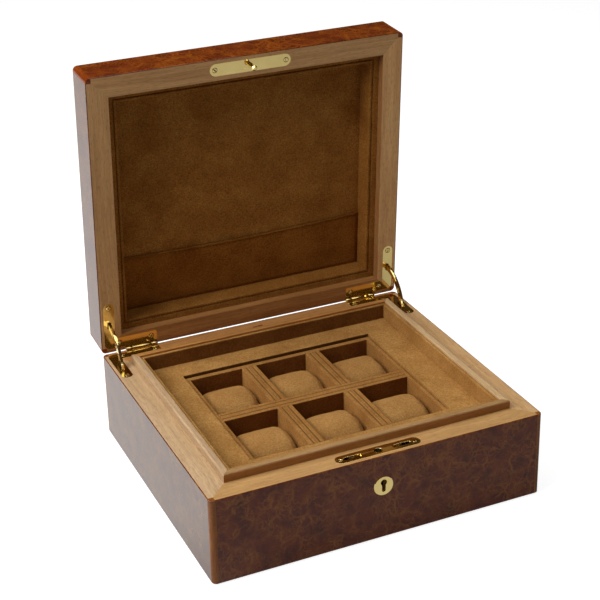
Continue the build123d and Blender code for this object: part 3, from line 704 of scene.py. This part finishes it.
def pocket_hem(low, high):
    """The turned hem, drawn out as a thin roll along the open edge."""
    form = bmesh.new()
    bmesh.ops.create_circle(form, cap_ends=False, segments=HEM_SIDES, radius=HEM_RADIUS)
    turn = Matrix.Rotation(math.pi / 2, 4, "Y")
    bmesh.ops.transform(form, matrix=turn, verts=form.verts)
    ring = list(form.verts)
    bmesh.ops.translate(form, verts=ring, vec=pocket_edge(0, low, high))
    loop = list(form.edges)
    for step in range(1, HEM_STEPS + 1):
        here = pocket_edge((step - 1) / HEM_STEPS, low, high)
        step_on = pocket_edge(step / HEM_STEPS, low, high) - here
        grown = bmesh.ops.extrude_edge_only(form, edges=loop)["geom"]
        loop = [g for g in grown if isinstance(g, bmesh.types.BMEdge)]
        fresh = [g for g in grown if isinstance(g, bmesh.types.BMVert)]
        bmesh.ops.translate(form, verts=fresh, vec=step_on)
        loop = [e for e in loop if all(v in fresh for v in e.verts)]
    bmesh.ops.holes_fill(form, edges=form.edges, sides=0)
    bmesh.ops.transform(form, matrix=OPENING, verts=form.verts)
    return new_piece("lid_pocket_hem", form, "suede_pocket_shaded", "lid")


def lid_pocket():
    """The suede pocket along the hinge side, with its turned hem."""
    low, high = shut_box("lid_pocket")
    pocket = pocket_cloth(low, high)
    hem = pocket_hem(low, high)
    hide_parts("lid_pocket")


lid_pocket()


# Screws: where they stand with the lid shut, and the radius and height of each head
LEAF_SCREWS = ((0.14145, 0.0875), (0.1328, 0.1246), (0.1022, 0.1246))
LEAF_HEAD = (0.0023, 0.00026)
PLATE_SCREW_X = 0.0337
PLATE_SCREW_Y = -0.1232
PLATE_HEAD = (0.0021, 0.00012)
SLOT_HALF = 0.0003
SLOT_TURN = 2.4
HEAD_SIDES = 28
BASE_LEAF_FACE = 0.0778
BASE_PLATE_FACE = 0.07795
LID_LEAF_FACE = 0.0784
LID_PLATE_FACE = 0.07825


def screw_head(radius, height):
    """A slotted head, domed a little, standing on z = 0."""
    form = bmesh.new()
    dome = ((0, 1), (0.5, 0.93), (0.85, 0.6), (1, 0.05), (1, -0.8), (0, -0.8))
    verts = [form.verts.new((radius * x, 0, height * z)) for x, z in dome]
    edges = [form.edges.new(pair) for pair in zip(verts, verts[1:])]
    geom = verts + edges
    turn = {"cent": (0, 0, 0), "axis": (0, 0, 1), "angle": 2 * math.pi}
    bmesh.ops.spin(form, geom=geom, steps=HEAD_SIDES, use_merge=True, **turn)
    bmesh.ops.remove_doubles(form, verts=form.verts, dist=radius * 0.001)
    side = {"plane_co": (0, SLOT_HALF, 0), "plane_no": (0, 1, 0), "clear_inner": True}
    everything = form.verts[:] + form.edges[:] + form.faces[:]
    bmesh.ops.bisect_plane(form, geom=everything, dist=1e-7, **side)
    bmesh.ops.holes_fill(form, edges=[e for e in form.edges if e.is_boundary], sides=0)
    everything = form.verts[:] + form.edges[:] + form.faces[:]
    bmesh.ops.mirror(form, geom=everything, merge_dist=-1, axis="Y")
    return form


def screw_shadow_seat(radius, height):
    """A dark disc of painted shadow that shows round a head and through its slot, where the
    countersink and the slot are in shade.
    """
    form = bmesh.new()
    ends = {"radius1": radius * 1.2, "radius2": radius * 1.16, "depth": 0.0002}
    bmesh.ops.create_cone(form, cap_ends=True, segments=HEAD_SIDES, **ends)
    bmesh.ops.translate(form, verts=form.verts, vec=(0, 0, height * 0.15 - 0.0001))
    return form


def screws(body, on_lid, leaf_face, plate_face):
    """All the screws of one body: three in each hinge leaf and two in the plate.

    The slots stand at angles of their own, as they do after screwing down.
    """
    spots = [(s * x, y, leaf_face, *LEAF_HEAD) for s in (-1, 1) for x, y in LEAF_SCREWS]
    spots += [(s * PLATE_SCREW_X, PLATE_SCREW_Y, plate_face, *PLATE_HEAD) for s in (-1, 1)]
    # Each screw gets a brass head and a dark disc beneath it, which is painted shadow in its
    # countersink and slot.
    for kind, shape, finish in (("heads", screw_head, "brass"), ("shadow_seats", screw_shadow_seat, "shadow_seat")):
        whole = bmesh.new()
        for count, (x, y, z, radius, height) in enumerate(spots):
            place = Matrix.Translation((x, y, z))
            if on_lid:
                place = OPENING @ place @ Matrix.Rotation(math.pi, 4, "X")
            place = place @ Matrix.Rotation(count * SLOT_TURN + 0.5, 4, "Z")
            one = shape(radius, height)
            bmesh.ops.transform(one, matrix=place, verts=one.verts)
            copied = bpy.data.meshes.new("screw")
            one.to_mesh(copied)
            one.free()
            whole.from_mesh(copied)
            bpy.data.meshes.remove(copied)
        piece = new_piece(f"{body}_screw_{kind}", whole, finish, body)


screws("base", False, BASE_LEAF_FACE, BASE_PLATE_FACE)
screws("lid", True, LID_LEAF_FACE, LID_PLATE_FACE)


# Floor, lights and world
FLOOR_HALF = 6
FLOOR_GREY = (0.45, 0.45, 0.45, 1)
FLOOR_WHITE = 0.84
FLOOR_FRONT = 0.2
FLOOR_BEHIND = 0.88
FLOOR_TURNS = (-0.10, 0.16)
WORLD_MIRROR = 0.06
WORLD_TINT = (1, 0.55, 0.25, 1)
AMBIENT = 0.05
LAMPS = (
    ("key", (-1.25, 0.05, 1.25), (0, 0, 0.1), (1.3, 1.3), 31),
    ("top", (0.1, 0.15, 1.7), (0, 0, 0.1), (1.5, 1.5), 12),
    ("fill", (0.6, -2.2, 0.25), (0, 0, 0.15), (1.2, 0.4), 3),
)


def stage_math(tree, way, *values):
    """A maths node of the stage, each of its inputs linked or set."""
    node = tree.nodes.new("ShaderNodeMath")
    node.operation = way
    for socket, value in zip(node.inputs, values):
        if isinstance(value, bpy.types.NodeSocket):
            tree.links.new(value, socket)
        else:
            socket.default_value = value
    return node.outputs[0]


def stage_glow(tree, camera, mirror):
    """How bright the stage looks to the camera, and in gloss and glass."""
    path = tree.nodes.new("ShaderNodeLightPath").outputs
    mirrored = stage_math(tree, "MAXIMUM", path["Is Glossy Ray"], path["Is Transmission Ray"])
    reflected = stage_math(tree, "MULTIPLY", mirrored, mirror)
    return stage_math(tree, "MULTIPLY_ADD", path["Is Camera Ray"], camera, reflected)


def floor_paper():
    """Pale paper. In gloss it is brightest to the left and behind."""
    paper = bpy.data.materials.new("floor_paper")
    paper.use_nodes = True
    tree = paper.node_tree
    tree.nodes.remove(tree.nodes["Principled BSDF"])
    diffuse = tree.nodes.new("ShaderNodeBsdfDiffuse")
    diffuse.inputs["Color"].default_value = FLOOR_GREY
    place = tree.nodes.new("ShaderNodeTexCoord").outputs["Object"]
    across = tree.nodes.new("ShaderNodeVectorMath")
    across.operation = "DOT_PRODUCT"
    tree.links.new(place, across.inputs[0])
    across.inputs[1].default_value = (-1, 1, 0)
    level = tree.nodes.new("ShaderNodeMapRange")
    level.interpolation_type = "SMOOTHSTEP"
    tree.links.new(across.outputs["Value"], level.inputs["Value"])
    level.inputs["From Min"].default_value, level.inputs["From Max"].default_value = FLOOR_TURNS
    level.inputs["To Min"].default_value = FLOOR_FRONT
    level.inputs["To Max"].default_value = FLOOR_BEHIND
    glow = tree.nodes.new("ShaderNodeEmission")
    tree.links.new(stage_glow(tree, FLOOR_WHITE, level.outputs[0]), glow.inputs["Strength"])
    both = tree.nodes.new("ShaderNodeAddShader")
    tree.links.new(diffuse.outputs[0], both.inputs[0])
    tree.links.new(glow.outputs[0], both.inputs[1])
    tree.links.new(both.outputs[0], tree.nodes["Material Output"].inputs["Surface"])
    return paper


def make_floor():
    """The sheet of paper that the box stands on."""
    form = bmesh.new()
    bmesh.ops.create_grid(form, x_segments=1, y_segments=1, size=FLOOR_HALF)
    mesh = bpy.data.meshes.new("floor")
    form.to_mesh(mesh)
    form.free()
    mesh.materials.append(floor_paper())
    floor = bpy.data.objects.new("floor", mesh)
    bpy.context.scene.collection.objects.link(floor)


def make_lamp(name, place, aim, size, power):
    """A soft rectangular lamp that looks at its aim."""
    lamp = bpy.data.objects.new(name, bpy.data.lights.new(name, "AREA"))
    lamp.data.shape = "RECTANGLE"
    lamp.data.size, lamp.data.size_y = size
    lamp.data.energy = power
    lamp.location = place
    lamp.rotation_mode = "QUATERNION"
    lamp.rotation_quaternion = (Vector(aim) - Vector(place)).to_track_quat("-Z", "Y")
    bpy.context.scene.collection.objects.link(lamp)


def make_world():
    """White to the camera, a low even light on the box, and a warm dim room in its gloss."""
    world = bpy.data.worlds.new("studio")
    bpy.context.scene.world = world
    world.use_nodes = True
    tree = world.node_tree
    back = tree.nodes["Background"]
    path = tree.nodes.new("ShaderNodeLightPath").outputs
    seen = stage_glow(tree, 1.0, WORLD_MIRROR)
    lit = stage_math(tree, "MULTIPLY_ADD", path["Is Diffuse Ray"], AMBIENT, seen)
    tree.links.new(lit, back.inputs["Strength"])
    tint = tree.nodes.new("ShaderNodeMix")
    tint.data_type = "RGBA"
    tree.links.new(path["Is Glossy Ray"], tint.inputs[0])
    tint.inputs[6].default_value = (1, 1, 1, 1)
    tint.inputs[7].default_value = WORLD_TINT
    tree.links.new(tint.outputs[2], back.inputs["Color"])


make_floor()
make_world()
for lamp in LAMPS:
    make_lamp(*lamp)
bpy.context.scene.view_settings.view_transform = "Standard"
